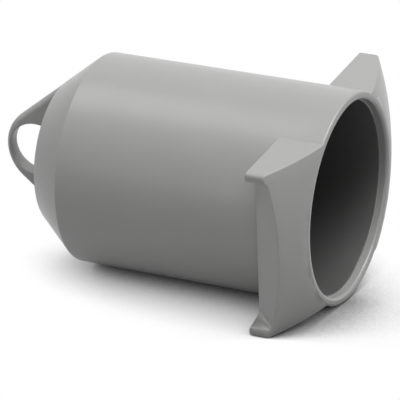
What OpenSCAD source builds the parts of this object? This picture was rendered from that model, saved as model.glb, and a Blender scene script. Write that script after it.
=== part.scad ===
// Protective cap for a round cable connector, moulded in one piece.
// A drafted tube is closed by a cone with a lanyard eye at one end. At the open end two
// finger wings with a domed front stand on opposite sides.
// The cap lies on its side: mouth towards +X, one wing's lower horn on the floor.

/* [Tube] */
// Outside diameter of the tube where the cone starts
tube_od = 35.2; // [30:0.1:40]
// Wall of the tube where the cone starts
tube_wall = 1.4; // [1:0.1:2]
// Length of the tube from the mouth to the start of the cone
tube_len = 45; // [30:0.1:80]
// Gain of the tube's radius from the cone to the mouth, for its draft
mouth_flare = 0.25; // [0:0.05:1]
// Depth of the lead-in recess into the wall at the mouth
lead_step = 0.4; // [0.1:0.05:0.6]
// Length of the lead-in recess
lead_depth = 1.5; // [0.8:0.1:4]
// Radius on the outer edge of the mouth
mouth_edge_r = 0.4; // [0.1:0.05:0.6]
// Radius on the inner edge of the mouth
lead_edge_r = 0.3; // [0.1:0.05:0.4]

/* [Closed end] */
// Length of the cone
cone_len = 6.5; // [5.5:0.1:9]
// Slope of the cone to the cap's axis
cone_angle = 40; // [30:0.5:44]
// Wall of the cone, measured square to it
cone_wall = 1.4; // [1:0.1:2]
// Thickness of the flat end wall
end_wall = 1.5; // [1:0.1:2.5]
// Radius on the edge between tube and cone
crease_r = 0.4; // [0.2:0.1:3]
// Radius on the edge of the flat end face
cone_end_edge_r = 0.5; // [0.1:0.05:0.8]

/* [Lanyard eye] */
// Thickness of the eye's flat plate
eye_t = 2.6; // [1.2:0.1:3.5]
// Radius of the eye's round tip
eye_tip_r = 7.4; // [6:0.1:8]
// Diameter of the hole in the eye
eye_hole_d = 9.2; // [4:0.1:10]
// Width of the eye's ring at its tip
eye_ring = 0.9; // [0.6:0.05:1.8]

/* [Finger wings] */
// Span over both wings
wing_span = 48.6; // [44:0.2:60]
// Height of a wing between its flat top and bottom
wing_h = 29.2; // [20:0.2:32]
// Distance from the mouth back to the flat rear of the wings
wing_rear = 7.9; // [6:0.1:12]
// Radius of the dome that the wings' front follows
dome_r = 56.5; // [45:0.5:90]
// Distance from the mouth back to where the dome meets the tube
dome_setback = 0.05; // [0.05:0.05:2]
// Radius on the corners of the wings seen from the front
wing_corner_r = 0.5; // [0.1:0.05:1]
// Depth of the finger recess at the rear of a wing
recess_depth = 4.2; // [2:0.1:5]
// Slant of the recess floor to the cap's axis
recess_slant = 40; // [15:1:45]
// Thickness of the horns beside the recess at their tips
horn_tip = 1.4; // [1:0.1:2]
// Thickness of the horns at the recess floor
horn_root = 2.1; // [1.4:0.1:4]
// Radius between the recess floor and the horns
recess_r = 1.8; // [0.5:0.1:3]

/* [Hidden] */
$fn = 96;

plastic_grey = [0.56, 0.56, 0.55];
// Overlap that carries a cut clear through a face
past = 1;
// Points on the arc of a small rounded edge, and on the eye's tip
edge_steps = 6;
tip_steps = 40;

tube_r = tube_od / 2;
mouth_r = tube_r + mouth_flare;
bore_r = tube_r - tube_wall;
lead_r = bore_r + lead_step;
cone_end = tube_len + cone_len;

// The cone narrows by this much for each millimetre of its length
cone_slope = tan(cone_angle);
cone_end_r = tube_r - cone_slope * cone_len;
// The inside of the closed end keeps its wall parallel to the cone
inner_end = cone_end - end_wall;
inner_edge_r = tube_r - cone_wall / cos(cone_angle);
inner_crease = tube_len + (inner_edge_r - bore_r) / cone_slope;
inner_end_r = inner_edge_r - cone_slope * (inner_end - tube_len);

// The eye's sides carry on the lines of the cone until they touch its round tip
eye_centre = tube_len + (tube_r - eye_tip_r / cos(cone_angle)) / cone_slope;
eye_tip = eye_centre + eye_tip_r;
eye_hole_centre = eye_tip - eye_ring - eye_hole_d / 2;
// The plate starts inside the end wall
eye_root = cone_end - end_wall / 2;

// The dome's centre on the axis, for a front that meets the tube at the setback
dome_meets_r = mouth_r - mouth_flare * dome_setback / tube_len;
dome_centre = dome_setback + sqrt(dome_r * dome_r - dome_meets_r * dome_meets_r);
wing_reach = wing_span / 2;
wing_half = wing_h / 2;
// Height of the recess above its floor, square to the floor, at the horns' rear tips
recess_rise = recess_depth * cos(recess_slant);
horn_draft = (horn_root - horn_tip) / recess_rise;

// At rest the mouth's edge and the rounded corner of one horn touch the floor
corner_reach = wing_reach - wing_corner_r;
corner_half = wing_half - wing_corner_r;
rest_roll = atan2(corner_reach, corner_half)
    - acos((mouth_r - wing_corner_r) / norm([corner_reach, corner_half]));

function unit(v) = v / norm(v);

// Points that round the corner b of the path a, b, c with the radius b[2]
function round_corner(a, b, c, steps) =
    let (
        at = [b[0], b[1]],
        to_a = unit([a[0], a[1]] - at),
        to_c = unit([c[0], c[1]] - at),
        half = acos(to_a * to_c) / 2,
        centre = at + unit(to_a + to_c) * b[2] / sin(half),
        first = at + to_a * b[2] / tan(half) - centre,
        last = at + to_c * b[2] / tan(half) - centre,
        start = atan2(first[1], first[0]),
        turn = atan2(first[0] * last[1] - first[1] * last[0], first * last)
    )
    [for (i = [0:steps])
        centre + b[2] * [cos(start + turn * i / steps), sin(start + turn * i / steps)]];

// Outline through [x, y, radius] corners, where a radius of 0 leaves the corner sharp
function rounded(corners) =
    let (n = len(corners))
    [for (i = [0:n - 1])
        each corners[i][2] == 0
            ? [[corners[i][0], corners[i][1]]]
            : round_corner(corners[(i + n - 1) % n], corners[i], corners[(i + 1) % n], edge_steps)];

// Outer form of the tube and cone about the axis, mouth at z = 0
module outer_form() {
    rotate_extrude()
        polygon(rounded([
            [0, 0, 0],
            [mouth_r, 0, mouth_edge_r],
            [tube_r, tube_len, crease_r],
            [cone_end_r, cone_end, cone_end_edge_r],
            [0, cone_end, 0]
        ]));
}

// Everything the core of the mould leaves open: lead-in recess, bore and inner cone
module cavity() {
    rotate_extrude()
        polygon(concat(
            [[0, -past], [lead_r + lead_edge_r, -past]],
            [for (i = [0:edge_steps])
                let (a = 90 * i / edge_steps)
                [lead_r + lead_edge_r * (1 - sin(a)), lead_edge_r * (1 - cos(a))]],
            [
                [lead_r, lead_depth],
                [bore_r, lead_depth],
                [bore_r, inner_crease],
                [inner_end_r, inner_end],
                [0, inner_end]
            ]
        ));
}

// Flat plate on the cone, drawn in the plane of the axis and pierced by the eye's hole
module lanyard_eye() {
    rotate([90, 0, 0])
        difference() {
            linear_extrude(eye_t, center = true)
                polygon(concat(
                    [
                        [-cone_end_r, cone_end],
                        [-inner_end_r, eye_root],
                        [inner_end_r, eye_root],
                        [cone_end_r, cone_end]
                    ],
                    [for (i = [0:tip_steps])
                        let (a = cone_angle + (180 - 2 * cone_angle) * i / tip_steps)
                        [0, eye_centre] + eye_tip_r * [cos(a), sin(a)]]
                ));
            translate([0, eye_hole_centre, 0])
                cylinder(d = eye_hole_d, h = eye_t + 2 * past, center = true);
        }
}

// Section of the finger recess: a flat floor rounded up into the drafted horns
module recess_section() {
    rise = recess_rise + 2 * past;
    floor_half = wing_half - horn_root;
    polygon(rounded([
        [-floor_half, 0, recess_r],
        [floor_half, 0, recess_r],
        [floor_half + horn_draft * rise, rise, 0],
        [-floor_half - horn_draft * rise, rise, 0]
    ]));
}

// Both wings: an upright plate with a domed front, hollowed for a finger on each outer side
module finger_wings() {
    difference() {
        intersection() {
            translate([0, 0, dome_setback])
                linear_extrude(wing_rear - dome_setback)
                    polygon(rounded([
                        [-wing_half, -wing_reach, wing_corner_r],
                        [wing_half, -wing_reach, wing_corner_r],
                        [wing_half, wing_reach, wing_corner_r],
                        [-wing_half, wing_reach, wing_corner_r]
                    ]));
            translate([0, 0, dome_centre])
                sphere(r = dome_r);
        }
        for (side = [0, 180])
            rotate([0, 0, side])
                translate([0, wing_reach - recess_depth, wing_rear])
                    rotate([recess_slant, 0, 0])
                        linear_extrude(2 * wing_rear, center = true)
                            recess_section();
    }
}

module cap() {
    color(plastic_grey)
        translate([eye_tip / 2, 0, mouth_r])
            rotate([rest_roll, 0, 0])
                rotate([0, -90, 0])
                    difference() {
                        union() {
                            outer_form();
                            lanyard_eye();
                            finger_wings();
                        }
                        cavity();
                    }
}

cap();
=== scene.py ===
from math import acos, atan2, cos, hypot, pi, radians, sin, sqrt, tan

import bmesh
import bpy
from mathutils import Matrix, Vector


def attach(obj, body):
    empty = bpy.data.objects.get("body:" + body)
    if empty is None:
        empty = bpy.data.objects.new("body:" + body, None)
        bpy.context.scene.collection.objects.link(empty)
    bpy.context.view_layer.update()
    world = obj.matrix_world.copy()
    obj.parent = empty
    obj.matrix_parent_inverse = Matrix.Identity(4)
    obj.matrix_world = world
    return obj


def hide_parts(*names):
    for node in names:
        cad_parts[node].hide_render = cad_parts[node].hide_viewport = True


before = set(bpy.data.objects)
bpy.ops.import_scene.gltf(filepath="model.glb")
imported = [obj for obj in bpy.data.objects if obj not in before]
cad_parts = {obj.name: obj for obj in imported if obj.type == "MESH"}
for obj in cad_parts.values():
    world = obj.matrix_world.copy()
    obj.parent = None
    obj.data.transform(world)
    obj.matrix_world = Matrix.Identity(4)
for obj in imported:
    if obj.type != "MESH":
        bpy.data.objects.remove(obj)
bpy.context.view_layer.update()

# The tube: the body of the cap, moulded over a polished core with a little draft outside.
# Its closed end is a short cone with a flat face. The mouth has a rounded rim and, inside it,
# a shallow lead-in recess. It is drawn about the X axis, mouth at x = 0, and laid down later.
MM = 0.001
tube_r = 17.6 * MM
mouth_r = 17.85 * MM
bore_r = 16.2 * MM
lead_r = 16.45 * MM
lead_depth = 1.5 * MM
tube_len = 45 * MM
cone_len = 6.5 * MM
cone_angle = radians(40)
cone_end = tube_len + cone_len
cone_end_r = tube_r - cone_len * tan(cone_angle)
wall = 1.4 * MM
end_wall = 1.5 * MM
inner_edge_r = tube_r - wall / cos(cone_angle)
inner_crease = tube_len + (inner_edge_r - bore_r) / tan(cone_angle)
inner_end = cone_end - end_wall
inner_end_r = inner_edge_r - tan(cone_angle) * (inner_end - tube_len)
cone_edge_r = 0.5 * MM
# The edges round the axis: depth, radius, and the width and steps of the rounding
rounded_rings = [
    (0, mouth_r, 0.45 * MM, 6),
    (0, lead_r, 0.55 * MM, 6),
    (lead_depth, bore_r, 0.1 * MM, 3),
    (tube_len, tube_r, cone_edge_r * tan(cone_angle / 2), 4),
    (cone_end, cone_end_r, cone_edge_r * tan((pi / 2 - cone_angle) / 2), 4),
    (inner_crease, bore_r, 0.6 * MM, 5),
    (inner_end, inner_end_r, 0.5 * MM, 4),
]
bore_steps = 8
tube_steps = 9
# The wall's section, from the edge of the inner end face out to the mouth and back to the outer end face
wall_rings = [(inner_crease, bore_r)]
for i in range(1, bore_steps + 1):
    wall_rings.append((inner_crease + (lead_depth - inner_crease) * i / bore_steps, bore_r))
wall_rings += [(lead_depth, lead_r), (0, lead_r), (0, mouth_r)]
for i in range(1, tube_steps + 1):
    wall_rings.append((tube_len * i / tube_steps, mouth_r + (tube_r - mouth_r) * i / tube_steps))
wall_rings.append((cone_end, cone_end_r))


def clear_bench():
    if bpy.context.object and bpy.context.object.mode == "EDIT":
        bpy.ops.object.mode_set(mode="OBJECT")
    bpy.ops.object.select_all(action="DESELECT")


def select_edges(obj, wanted):
    bpy.ops.mesh.select_mode(type="EDGE")
    bpy.ops.mesh.select_all(action="DESELECT")
    mesh = bmesh.from_edit_mesh(obj.data)
    for e in mesh.edges:
        if wanted(e):
            e.select = True
    mesh.select_flush(True)
    bmesh.update_edit_mesh(obj.data)


def round_ring(obj, depth, radius, width, steps):
    close = 0.02 * MM

    def on_ring(e):
        return all(
            abs(v.co.x + depth) < close and abs(hypot(v.co.y, v.co.z) - radius) < close
            for v in e.verts
        )

    select_edges(obj, on_ring)
    bpy.ops.mesh.bevel(offset=width, segments=steps, profile=0.5, clamp_overlap=True)


clear_bench()
bpy.ops.mesh.primitive_circle_add(
    vertices=192, radius=inner_end_r, fill_type="NGON",
    location=(-inner_end, 0, 0), rotation=(0, pi / 2, 0),
)
cap = bpy.context.object
cap.name = "moulded_cap"
bpy.ops.object.transform_apply(location=True, rotation=True, scale=True)
bpy.ops.object.mode_set(mode="EDIT")
bpy.ops.mesh.select_mode(type="EDGE")
bpy.ops.mesh.select_all(action="SELECT")
bpy.ops.mesh.region_to_loop()
at_depth, at_r = inner_end, inner_end_r
for depth, radius in wall_rings:
    bpy.ops.mesh.extrude_edges_move(TRANSFORM_OT_translate={"value": (at_depth - depth, 0, 0)})
    bpy.ops.transform.resize(value=(1, radius / at_r, radius / at_r), center_override=(-depth, 0, 0))
    at_depth, at_r = depth, radius
bpy.ops.mesh.edge_face_add()
bpy.ops.mesh.select_all(action="SELECT")
bpy.ops.mesh.normals_make_consistent(inside=False)
for depth, radius, width, steps in rounded_rings:
    round_ring(cap, depth, radius, width, steps)
bpy.ops.object.mode_set(mode="OBJECT")

# The lanyard eye: a flat plate in the plane of the cap's axis, moulded onto the end face.
# Its sides carry on the lines of the cone until they touch the round tip. The plate's edge is
# half round, its root has a fillet and its hole a small lip, so that nothing chafes.
eye_t = 2.6 * MM
eye_tip_r = 7.4 * MM
eye_hole_r = 4.6 * MM
eye_ring = 0.9 * MM
eye_centre = tube_len + (tube_r - eye_tip_r / cos(cone_angle)) / tan(cone_angle)
eye_tip = eye_centre + eye_tip_r
eye_hole = eye_tip - eye_ring - eye_hole_r
eye_root = cone_end - end_wall / 2
eye_rim_r = 1.05 * MM
root_r = 1.1 * MM
root_sunk = 0.4 * MM
root_bite = 0.005 * MM
root_inset = 0.45 * MM
hole_lip = 0.25 * MM


def eye_edge(turn, inset):
    # Distance from the hole's centre to the outline drawn in by the inset; turn 0 points to the tip
    along, across = cos(turn), abs(sin(turn))
    shift = eye_hole - eye_centre
    to_tip = -shift * along + sqrt((eye_tip_r - inset) ** 2 - (shift * across) ** 2)
    if atan2(to_tip * across, shift + to_tip * along) <= pi / 2 - cone_angle:
        return to_tip
    side_room = tube_r - inset / cos(cone_angle) - (eye_hole - tube_len) * tan(cone_angle)
    slope = across + along * tan(cone_angle)
    to_side = side_room / slope if slope > 0 else 1
    to_root = (eye_root - eye_hole) / along if along < 0 else 1
    return min(to_side, to_root)


def lay_ring(obj, out, reach):
    mesh = bmesh.from_edit_mesh(obj.data)
    for v in mesh.verts:
        if v.select:
            turn = atan2(v.co.z, -v.co.x - eye_hole)
            v.co = (-eye_hole - reach(turn) * cos(turn), out, reach(turn) * sin(turn))
    bmesh.update_edit_mesh(obj.data)


def stacked_rings(vertices, rings):
    # A solid along Y about the hole's axis: each ring is its place on Y and its outline by turn
    clear_bench()
    bpy.ops.mesh.primitive_circle_add(
        vertices=vertices, radius=eye_hole_r, fill_type="NGON",
        location=(-eye_hole, 0, 0), rotation=(pi / 2, 0, 0),
    )
    obj = bpy.context.object
    bpy.ops.object.transform_apply(location=True, rotation=True, scale=True)
    bpy.ops.object.mode_set(mode="EDIT")
    bpy.ops.mesh.select_mode(type="EDGE")
    bpy.ops.mesh.select_all(action="SELECT")
    lay_ring(obj, *rings[0])
    bpy.ops.mesh.region_to_loop()
    for ring in rings[1:]:
        bpy.ops.mesh.extrude_edges_move(TRANSFORM_OT_translate={"value": (0, MM, 0)})
        lay_ring(obj, *ring)
    bpy.ops.mesh.edge_face_add()
    bpy.ops.mesh.select_all(action="SELECT")
    bpy.ops.mesh.normals_make_consistent(inside=False)
    bpy.ops.object.mode_set(mode="OBJECT")
    return obj


def combine(obj, other, operation):
    clear_bench()
    bpy.context.view_layer.objects.active = obj
    step = obj.modifiers.new(operation.lower(), "BOOLEAN")
    step.object = other
    step.operation = operation
    step.solver = "EXACT"
    bpy.ops.object.modifier_apply(modifier=step.name)
    bpy.data.objects.remove(other)


def quarter_turn(steps):
    return [pi / 2 * i / steps for i in range(steps + 1)]


rim = []
for turn in quarter_turn(9):
    rim.append((eye_t / 2 - eye_rim_r + eye_rim_r * cos(turn), eye_rim_r * (1 - sin(turn))))
both_rims = [(-out, inset) for out, inset in rim] + rim[::-1]
eye = stacked_rings(160, [
    (out, lambda turn, inset=inset: eye_edge(turn, inset)) for out, inset in both_rims
])

fillet = [(cone_end - root_sunk, eye_t / 2 + root_r)]
for turn in quarter_turn(7):
    rise = root_r * (1 - cos(turn))
    fillet.append((cone_end + rise, eye_t / 2 + root_r * (1 - sin(turn)) - root_bite))
root_section = fillet + [(depth, -out) for depth, out in reversed(fillet)]
clear_bench()
bpy.ops.mesh.primitive_circle_add(vertices=len(root_section), radius=MM, fill_type="NGON")
root = bpy.context.object
bpy.ops.object.mode_set(mode="EDIT")
mesh = bmesh.from_edit_mesh(root.data)
mesh.verts.ensure_lookup_table()
for v, (depth, out) in zip(mesh.verts, root_section):
    v.co = (-depth, out, -MM)
bmesh.update_edit_mesh(root.data)
bpy.ops.mesh.select_all(action="SELECT")
bpy.ops.mesh.extrude_region_move(TRANSFORM_OT_translate={"value": (0, 0, 2 * MM)})
mesh = bmesh.from_edit_mesh(root.data)
for v in mesh.verts:
    room = tube_r - (-v.co.x - tube_len) * tan(cone_angle) - root_inset
    v.co.z = room if v.co.z > 0 else -room
bmesh.update_edit_mesh(root.data)
bpy.ops.mesh.select_all(action="SELECT")
bpy.ops.mesh.normals_make_consistent(inside=False)
bpy.ops.object.mode_set(mode="OBJECT")
combine(eye, root, "UNION")

bell = [(eye_t / 2 + 2 * MM, hole_lip)]
for turn in quarter_turn(6):
    bell.append((eye_t / 2 - hole_lip + hole_lip * cos(turn), hole_lip * (1 - sin(turn))))
both_bells = [(-out, wider) for out, wider in bell] + bell[::-1]
drill = stacked_rings(128, [
    (out, lambda turn, wider=wider: eye_hole_r + wider) for out, wider in both_bells
])
combine(eye, drill, "DIFFERENCE")

# The finger wings: two plates beside the mouth with a domed front and flat top, bottom and rear.
# Between two small horns the outer side of each is hollowed on a slant for a fingertip.
# One wing is modelled with a flat front, domed, and turned half round the axis for the other.
wing_reach = 24.3 * MM
wing_half = 14.6 * MM
wing_rear = 7.9 * MM
wing_root = 6 * MM
wing_edge = 0.2 * MM
wing_seat_r = 17.5 * MM
dome_r = 56.5 * MM
dome_setback = 0.05 * MM
dome_centre = dome_setback + sqrt(dome_r ** 2 - mouth_r ** 2)
least_setback = 0.03 * MM
recess_front = 0.43 * MM
recess_rear = 4.2 * MM
horn_tip_front = 1.2 * MM
horn_root_front = 2 * MM
horn_tip = 1.4 * MM
horn_root = 2.1 * MM
horn_corner = 0.7 * MM
grid_out = 1.5 * MM
cuts_out = 11
grid_across = 1.83 * MM
cuts_each_side = 7
front_skin = 1 * MM
hair = 0.01 * MM


def softened(first, corners):
    # Half an outline seen along the axis: (across, out) points from its middle, where each corner
    # (across, out, run, steps) is rounded over a run before and after it
    floor_steps = 6
    line = [first]
    for i in range(len(corners) - 1):
        before, corner, after = Vector(line[-1]), Vector(corners[i][:2]), Vector(corners[i + 1][:2])
        run, steps = corners[i][2:]
        start = corner + (before - corner).normalized() * run
        end = corner + (after - corner).normalized() * run
        if i == 0:
            line += [tuple(before.lerp(start, k / floor_steps)) for k in range(1, floor_steps)]
        for k in range(steps + 1):
            bend = k / steps
            line.append(tuple(start.lerp(corner, bend).lerp(corner.lerp(end, bend), bend)))
    return line


def both_halves(half):
    return [(-across, out) for across, out in half[:0:-1]] + half


# On the dome the recess is shallow and ends within its bend; at the rear it runs up the horns
front_line = both_halves(softened((0, wing_reach - recess_front), [
    (wing_half - horn_root_front, wing_reach - recess_front, 0.5 * MM, 8),
    (wing_half - horn_tip_front, wing_reach, 0.28 * MM, 4),
    (wing_half, wing_reach, horn_corner, 5),
    (wing_half, wing_root, 0, 0),
]))
rear_line = both_halves(softened((0, wing_reach - recess_rear), [
    (wing_half - horn_root, wing_reach - recess_rear, 1.2 * MM, 8),
    (wing_half - horn_tip, wing_reach, 0.4 * MM, 4),
    (wing_half, wing_reach, horn_corner, 5),
    (wing_half, wing_root, 0, 0),
]))


def at_reach(v):
    return v.co.y > wing_reach - hair


def lay_edge(obj, depth, line):
    mesh = bmesh.from_edit_mesh(obj.data)
    edge = [v for v in mesh.verts if abs(v.co.x + depth) < hair and at_reach(v)]
    for v, (across, out) in zip(sorted(edge, key=lambda v: v.co.z), line):
        v.co.y, v.co.z = out, across
    bmesh.update_edit_mesh(obj.data)


clear_bench()
bpy.ops.mesh.primitive_plane_add(
    size=1, location=(0, (wing_root + wing_reach) / 2, 0), rotation=(0, pi / 2, 0),
)
wing = bpy.context.object
wing.scale = (2 * wing_half, wing_reach - wing_root, 1)
bpy.ops.object.transform_apply(location=True, rotation=True, scale=True)
bpy.ops.object.mode_set(mode="EDIT")
select_edges(wing, lambda e: all(at_reach(v) for v in e.verts))
bpy.ops.mesh.subdivide(number_cuts=len(front_line) - 2)
bpy.ops.mesh.select_all(action="SELECT")
bpy.ops.mesh.extrude_region_move(TRANSFORM_OT_translate={"value": (-wing_rear, 0, 0)})
lay_edge(wing, 0, front_line)
lay_edge(wing, wing_rear, rear_line)
bpy.ops.mesh.select_all(action="SELECT")
bpy.ops.mesh.normals_make_consistent(inside=False)


def wing_rim(e):
    across = abs(e.verts[0].co.x - e.verts[1].co.x) < hair
    off_root = any(v.co.y > wing_root + hair for v in e.verts)
    return across and off_root and e.calc_face_angle() > radians(45)


select_edges(wing, wing_rim)
bpy.ops.mesh.bevel(offset=wing_edge, segments=4, profile=0.5, clamp_overlap=False)
bpy.ops.mesh.region_to_loop()
bpy.ops.mesh.mark_sharp()


def cut_wing(place, square, wanted):
    bpy.ops.mesh.select_mode(type="FACE")
    bpy.ops.mesh.select_all(action="DESELECT")
    mesh = bmesh.from_edit_mesh(wing.data)
    for f in mesh.faces:
        f.select = wanted(f)
    bmesh.update_edit_mesh(wing.data)
    bpy.ops.mesh.bisect(plane_co=place, plane_no=square)


def on_front(f):
    return all(v.co.x > -hair / 10 for v in f.verts)


def clear_of_recess(f):
    at_front = all(v.co.x > -wing_edge - 0.05 * MM for v in f.verts)
    return at_front or all(abs(v.co.z) > wing_half - hair / 10 for v in f.verts)


for i in range(1, cuts_out + 1):
    cut_wing((0, wing_root + grid_out * i, 0), (0, 1, 0), clear_of_recess)
for i in range(-cuts_each_side, cuts_each_side + 1):
    cut_wing((0, 0, grid_across * i), (0, 0, 1), on_front)
mesh = bmesh.from_edit_mesh(wing.data)
for v in mesh.verts:
    if v.co.x > -front_skin:
        v.co.x -= max(least_setback, dome_centre - sqrt(dome_r ** 2 - v.co.y ** 2 - v.co.z ** 2))
bmesh.update_edit_mesh(wing.data)
bpy.ops.object.mode_set(mode="OBJECT")
bpy.ops.mesh.primitive_cylinder_add(
    vertices=144, radius=wing_seat_r, depth=40 * MM, rotation=(0, pi / 2, 0),
)
combine(wing, bpy.context.object, "DIFFERENCE")
clear_bench()
wing.select_set(True)
bpy.context.view_layer.objects.active = wing
bpy.ops.object.duplicate()
far_wing = bpy.context.object
far_wing.rotation_euler = (pi, 0, 0)
bpy.ops.object.transform_apply(location=True, rotation=True, scale=True)

# The moulding: tube, eye and wings are one piece of satin grey plastic with a fine grain.
# It lies on its side as it comes to rest, rolled about its axis until the lower horn of one wing
# meets the floor. Its bore carries painted shade: a darker base colour inside, standing in for the dim
# light there.
wing_corner_r = 0.5 * MM
corner_out = wing_reach - wing_corner_r
corner_up = wing_half - wing_corner_r
rest_roll = atan2(corner_out, corner_up) - acos((mouth_r - wing_corner_r) / hypot(corner_out, corner_up))
axis_up = mouth_r
grey_low = (0.300, 0.300, 0.296, 1)
grey_high = (0.330, 0.330, 0.326, 1)
# painted shade: inside the bore the base colour is scaled down by this factor, for the dim light there
bore_painted_shade = 0.28
least_flat = 5 * MM ** 2
satin_low = 0.26
satin_high = 0.34
for feature in (eye, wing, far_wing):
    combine(cap, feature, "UNION")


def is_flat(f):
    square = max(abs(f.normal.x), abs(f.normal.y)) > 0.9999
    return square and f.calc_area() > least_flat


def flat_border(e):
    flat = [is_flat(f) for f in e.link_faces]
    return any(flat) and not all(flat)


bpy.ops.object.mode_set(mode="EDIT")
select_edges(cap, flat_border)
bpy.ops.mesh.mark_sharp()
clear_bench()
cap.select_set(True)
bpy.context.view_layer.objects.active = cap
cap.rotation_euler = (rest_roll, 0, 0)
cap.location = (eye_tip / 2, 0, axis_up)
bpy.ops.object.transform_apply(location=True, rotation=True, scale=True)
bpy.ops.object.shade_smooth_by_angle(angle=radians(32))

plastic = bpy.data.materials.new("grey_moulded_plastic")
plastic.use_nodes = True
nodes, links = plastic.node_tree.nodes, plastic.node_tree.links
shader = nodes["Principled BSDF"]
place = nodes.new("ShaderNodeTexCoord")


def noise(scale, detail, roughness):
    n = nodes.new("ShaderNodeTexNoise")
    n.inputs["Scale"].default_value = scale
    n.inputs["Detail"].default_value = detail
    n.inputs["Roughness"].default_value = roughness
    links.new(place.outputs["Object"], n.inputs["Vector"])
    return n.outputs["Fac"]


def ramp(tree, value, start, end, low, high):
    n = tree.nodes.new("ShaderNodeMapRange")
    n.inputs["From Min"].default_value = start
    n.inputs["From Max"].default_value = end
    n.inputs["To Min"].default_value = low
    n.inputs["To Max"].default_value = high
    tree.links.new(value, n.inputs["Value"])
    return n.outputs["Result"]


def reckon(tree, operation, first, second):
    n = tree.nodes.new("ShaderNodeMath")
    n.operation = operation
    tree.links.new(first, n.inputs[0])
    tree.links.new(second, n.inputs[1])
    return n.outputs["Value"]


tone = nodes.new("ShaderNodeMix")
tone.data_type = "RGBA"
tone.inputs["A"].default_value = grey_low
tone.inputs["B"].default_value = grey_high
links.new(noise(90, 3, 0.55), tone.inputs["Factor"])
from_axis = nodes.new("ShaderNodeVectorMath")
from_axis.operation = "MULTIPLY_ADD"
from_axis.inputs[1].default_value = (0, 1, 1)
from_axis.inputs[2].default_value = (0, 0, -axis_up)
links.new(place.outputs["Object"], from_axis.inputs[0])
off_axis = nodes.new("ShaderNodeVectorMath")
off_axis.operation = "LENGTH"
links.new(from_axis.outputs["Vector"], off_axis.inputs[0])
along = nodes.new("ShaderNodeSeparateXYZ")
links.new(place.outputs["Object"], along.inputs["Vector"])
# Over the cone the radius is brought back to the tube's, so that one limit parts inside from outside.
# The painted shade of the bore, a darker base colour, starts on the step of the lead-in and ends within
# the end wall
mouth_x = eye_tip / 2
narrowing = ramp(
    plastic.node_tree, along.outputs["X"],
    mouth_x - tube_len, mouth_x - cone_end, 0, tube_r - cone_end_r,
)
as_tube = reckon(plastic.node_tree, "ADD", off_axis.outputs["Value"], narrowing)
# painted shade mask: the lowered factor inside the bore, 1 outside it
inside = ramp(plastic.node_tree, as_tube, bore_r + 0.05 * MM, bore_r + 0.2 * MM, bore_painted_shade, 1)
outside_end = ramp(
    plastic.node_tree, along.outputs["X"],
    mouth_x - inner_end - 0.4 * MM, mouth_x - inner_end - 1.1 * MM, 0, 1,
)
# painted shade: the grey is scaled down inside the bore, standing in for its dim light
bore_shaded_colour = nodes.new("ShaderNodeVectorMath")
bore_shaded_colour.operation = "SCALE"
links.new(tone.outputs["Result"], bore_shaded_colour.inputs[0])
links.new(reckon(plastic.node_tree, "MAXIMUM", inside, outside_end), bore_shaded_colour.inputs["Scale"])
links.new(bore_shaded_colour.outputs["Vector"], shader.inputs["Base Color"])
satin = ramp(plastic.node_tree, noise(260, 4, 0.6), 0, 1, satin_low, satin_high)
links.new(satin, shader.inputs["Roughness"])
grain = nodes.new("ShaderNodeBump")
grain.inputs["Strength"].default_value = 0.12
grain.inputs["Distance"].default_value = 0.03 * MM
links.new(noise(2600, 2, 0.5), grain.inputs["Height"])
links.new(grain.outputs["Normal"], shader.inputs["Normal"])
shader.inputs["IOR"].default_value = 1.49
cap.data.materials.clear()
cap.data.materials.append(plastic)
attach(cap, "root")
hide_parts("cap")

# The table: a plain white sheet that the cap lies on, wide enough to fill every view.
# The camera and reflections see it white, with a soft shadow where the cap hides the sky, above
# all the sky beyond the closed end. To the lamps it is greyer, so that little light comes back up.
sheet_grey = (0.34, 0.34, 0.34, 1)
shadow_reach = 0.3
left_tilt = radians(70)
under_open = 0.62
side_dark = 0.34
side_open = 0.522
clear_bench()
bpy.ops.mesh.primitive_plane_add(size=6, location=(0, 0, -0.08 * MM))
table = bpy.context.object
table.name = "white_table"
paper = bpy.data.materials.new("white_paper")
paper.use_nodes = True
nodes, links = paper.node_tree.nodes, paper.node_tree.links
nodes.remove(nodes["Principled BSDF"])
bounce = nodes.new("ShaderNodeBsdfDiffuse")
bounce.inputs["Color"].default_value = sheet_grey


def open_sky():
    n = nodes.new("ShaderNodeAmbientOcclusion")
    n.samples = 16
    n.inputs["Distance"].default_value = shadow_reach
    return n


def seen_directly(tree):
    ray = tree.nodes.new("ShaderNodeLightPath")
    return reckon(tree, "MAXIMUM", ray.outputs["Is Camera Ray"], ray.outputs["Is Glossy Ray"])


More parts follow.
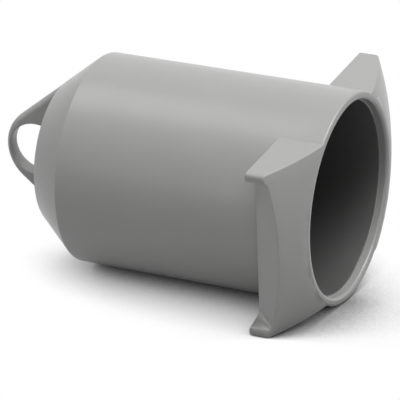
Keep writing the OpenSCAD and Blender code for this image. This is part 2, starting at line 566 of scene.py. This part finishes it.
overhead_sky = open_sky()
left_sky = open_sky()
leftward = nodes.new("ShaderNodeCombineXYZ")
leftward.inputs["X"].default_value = -sin(left_tilt)
leftward.inputs["Z"].default_value = cos(left_tilt)
links.new(leftward.outputs["Vector"], left_sky.inputs["Normal"])
under_shade = ramp(paper.node_tree, overhead_sky.outputs["AO"], 0, under_open, 0, 1)
side_shade = ramp(paper.node_tree, left_sky.outputs["AO"], side_dark, side_open, 0, 1)
white_sheet = nodes.new("ShaderNodeEmission")
links.new(reckon(paper.node_tree, "MULTIPLY", under_shade, side_shade), white_sheet.inputs["Strength"])
sheet = nodes.new("ShaderNodeMixShader")
links.new(seen_directly(paper.node_tree), sheet.inputs["Fac"])
links.new(bounce.outputs["BSDF"], sheet.inputs[1])
links.new(white_sheet.outputs["Emission"], sheet.inputs[2])
links.new(sheet.outputs["Shader"], nodes["Material Output"].inputs["Surface"])
table.data.materials.append(paper)

# The light: square soft boxes a metre away, as in a small photo studio. The strongest stands high
# beyond the mouth; the weaker ones fill in from above, behind, the front and the closed end.
box_distance = 1.0
box_size = 0.5
room_light = 0.02


def soft_box(name, turn, rise, level):
    stand = box_distance * Vector((cos(rise) * cos(turn), cos(rise) * sin(turn), sin(rise)))
    lamp = bpy.data.lights.new(name, "AREA")
    lamp.shape = "SQUARE"
    lamp.size = box_size
    lamp.energy = level * pi ** 2 * box_distance ** 2
    holder = bpy.data.objects.new(name, lamp)
    holder.location = stand
    holder.rotation_euler = stand.to_track_quat("Z", "Y").to_euler()
    bpy.context.scene.collection.objects.link(holder)


soft_box("overhead", 0, radians(78), 0.1)
soft_box("back_right", radians(60), radians(65), 0.2)
soft_box("right", 0, radians(67), 0.74)
soft_box("front", radians(276), radians(60), 0.15)
soft_box("fill", radians(292), radians(18), 0.11)
soft_box("left", radians(190), radians(60), 0.2)
soft_box("low_left", radians(195), radians(9), 0.11)
soft_box("low_front", radians(262), radians(3), 0.08)
studio = bpy.data.worlds.new("studio")
bpy.context.scene.world = studio
studio.use_nodes = True
nodes, links = studio.node_tree.nodes, studio.node_tree.links
backdrop = ramp(studio.node_tree, seen_directly(studio.node_tree), 0, 1, room_light, 1)
links.new(backdrop, nodes["Background"].inputs["Strength"])
nodes["Background"].inputs["Color"].default_value = (1, 1, 1, 1)

# The camera: a long lens from the front right, a little above the cap.
# Its place and turn were fitted to points of the rim, cone, eye and wings.
bpy.ops.object.camera_add(
    location=(0.323206, -0.736008, 0.294128),
    rotation=(radians(70.69369), radians(-1.49157), radians(23.9537)),
)
camera = bpy.context.object
camera.data.sensor_width = 36
camera.data.lens = 462.25
bpy.context.scene.camera = camera

bpy.context.scene.view_settings.view_transform = "Standard"
